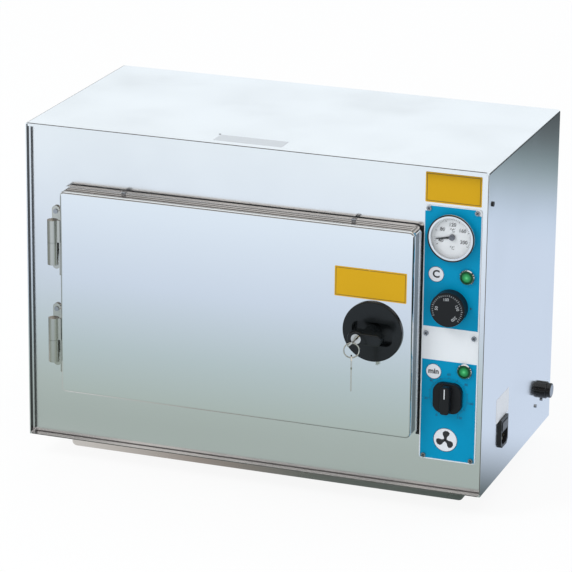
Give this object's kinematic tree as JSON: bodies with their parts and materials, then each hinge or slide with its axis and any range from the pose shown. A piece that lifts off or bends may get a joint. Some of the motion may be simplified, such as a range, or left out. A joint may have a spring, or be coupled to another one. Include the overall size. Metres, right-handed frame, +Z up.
{
  "type": "hot air sterilizer",
  "caption": "Benchtop hot air sterilizer: polished steel cabinet with a hinged lockable door, tray chamber, circulation fan, and a side control column with thermometer, thermostat and timer.",
  "frame": {"origin": "on the bench, under the middle of the front foot rail's sole", "axes": "+X to the user's right along the width, +Y from the door to the rear, +Z up"},
  "size_m": [0.5949, 0.3692, 0.426],
  "materials": {
    "cabinet_steel": "polished stainless sheet",
    "inner_steel": "plain stainless sheet",
    "door_steel": "mirror-polished stainless sheet",
    "foot_steel": "satin stainless sheet",
    "hinge_nickel": "satin nickel",
    "screw_metal": "bright",
    "black_screw": "blackened",
    "plate_blue": "printed satin",
    "bezel_chrome": "bright",
    "dial_white": "printed",
    "clear_glass": "clear",
    "needle_black": "matt",
    "lamp_green": "translucent green",
    "knob_black": "matt moulded",
    "handle_black": "glossy moulded",
    "switch_grey": "moulded",
    "inlet_black": "moulded",
    "inlet_brass": "nickelled",
    "cap_black": "moulded",
    "gasket_black": "matt",
    "wool": "mineral wool",
    "motor_metal": "varnished stack",
    "fan_metal": "plain",
    "heater_metal": "oxidised tube",
    "key_metal": "nickelled",
    "lock_metal": "satin chrome",
    "cam_steel": "zinc plated"
  },
  "bodies": {
    "cabinet": {"casing_wrap": "cabinet_steel", "bottom_pan": "cabinet_steel", "rear_panel": "cabinet_steel", "front_panel": "cabinet_steel", "front_foot_rail": "foot_steel", "rear_foot_rail": "foot_steel", "chamber_liner": "inner_steel", "insulation": "wool", "air_baffle": "inner_steel", "left_tray_rack": "inner_steel", "right_tray_rack": "inner_steel", "heater": "heater_metal", "fan_motor": "motor_metal", "motor_bracket": "inner_steel", "control_plate": "plate_blue", "control_plate_screws": "screw_metal", "thermometer_drum": "bezel_chrome", "thermometer_dial": "dial_white", "thermometer_glass": "clear_glass", "upper_lamp_bezel": "bezel_chrome", "lower_lamp_bezel": "bezel_chrome", "upper_lamp_lens": "lamp_green", "lower_lamp_lens": "lamp_green", "thermostat_body": "switch_grey", "timer_body": "switch_grey", "power_inlet": "inlet_black", "inlet_pins": "inlet_brass", "fuse_holder": "cap_black", "safety_thermostat": "switch_grey", "safety_thermostat_screws": "screw_metal", "latch_keeper": "cam_steel", "upper_hinge_frame_leaf": "hinge_nickel", "lower_hinge_frame_leaf": "hinge_nickel", "hinge_pins": "hinge_nickel", "hinge_screws": "screw_metal", "casing_screws": "black_screw"},
    "door": {"door_shell": "door_steel", "door_pan": "inner_steel", "door_insulation": "wool", "door_gasket": "gasket_black", "latch_rosette": "handle_black", "upper_hinge_door_leaf": "hinge_nickel", "lower_hinge_door_leaf": "hinge_nickel", "door_clips": "screw_metal"},
    "latch": {"latch_handle": "handle_black", "latch_spindle": "cam_steel", "latch_cam": "cam_steel"},
    "lock": {"lock_cylinder": "lock_metal", "inserted_key": "key_metal"},
    "key_ring": {"key_ring": "key_metal"},
    "spare_key": {"spare_key": "key_metal"},
    "thermometer_needle": {"thermometer_needle": "needle_black"},
    "thermostat_knob": {"thermostat_knob": "knob_black"},
    "timer_knob": {"timer_knob": "knob_black"},
    "fan": {"fan_impeller": "fan_metal", "fan_shaft": "cam_steel"},
    "upper_tray": {"upper_tray": "inner_steel"},
    "lower_tray": {"lower_tray": "inner_steel"},
    "fuse_cap": {"fuse_cap": "cap_black", "fuse": "clear_glass"}
  },
  "joints": [
    {"name": "door_swing", "type": "hinge", "parent": "cabinet", "child": "door", "pos_m": [-0.251, -0.073, 0.2215], "axis": [0, 0, -1], "range_deg": [0, 170]},
    {"name": "latch_turn", "type": "hinge", "parent": "door", "child": "latch", "pos_m": [0.158, -0.09, 0.2225], "axis": [0, 1, 0], "range_deg": [0, 90]},
    {"name": "key_turn", "type": "hinge", "parent": "latch", "child": "lock", "pos_m": [0.1486, -0.1095, 0.2225], "axis": [0, 1, 0], "range_deg": [0, 90]},
    {"name": "ring_swing", "type": "hinge", "parent": "lock", "child": "key_ring", "pos_m": [0.1486, -0.1243, 0.2225], "axis": [0.9397, 0.342, 0], "range_deg": [-60, 15]},
    {"name": "spare_key_swing", "type": "hinge", "parent": "key_ring", "child": "spare_key", "pos_m": [0.1486, -0.1243, 0.2045], "axis": [0.9397, 0.342, 0], "range_deg": [-40, 30]},
    {"name": "thermometer_needle_turn", "type": "hinge", "parent": "cabinet", "child": "thermometer_needle", "pos_m": [0.2456, -0.055, 0.3418], "axis": [0, 1, 0], "range_deg": [-50, 210]},
    {"name": "thermostat_knob_turn", "type": "hinge", "parent": "cabinet", "child": "thermostat_knob", "pos_m": [0.2456, -0.06, 0.257], "axis": [0, 1, 0], "range_deg": [0, 270]},
    {"name": "timer_knob_turn", "type": "hinge", "parent": "cabinet", "child": "timer_knob", "pos_m": [0.2456, -0.06, 0.145], "axis": [0, 1, 0], "range_deg": [0, 300]},
    {"name": "fan_spin", "type": "hinge", "parent": "cabinet", "child": "fan", "pos_m": [-0.0175, 0.145, 0.2215], "axis": [0, 1, 0], "continuous": true},
    {"name": "upper_tray_slide", "type": "slide", "parent": "cabinet", "child": "upper_tray", "axis": [0, -1, 0], "range_m": [0, 0.06]},
    {"name": "lower_tray_slide", "type": "slide", "parent": "cabinet", "child": "lower_tray", "axis": [0, -1, 0], "range_m": [0, 0.09]},
    {"name": "fuse_cap_turn", "type": "hinge", "parent": "cabinet", "child": "fuse_cap", "pos_m": [0.298, 0.197, 0.0765], "axis": [1, 0, 0], "range_deg": [0, 45]}
  ],
  "couplings": [
    {"joint": "upper_tray_slide", "follows": "door_swing", "m_per_rad": 0.02},
    {"joint": "lower_tray_slide", "follows": "door_swing", "m_per_rad": 0.03}
  ]
}
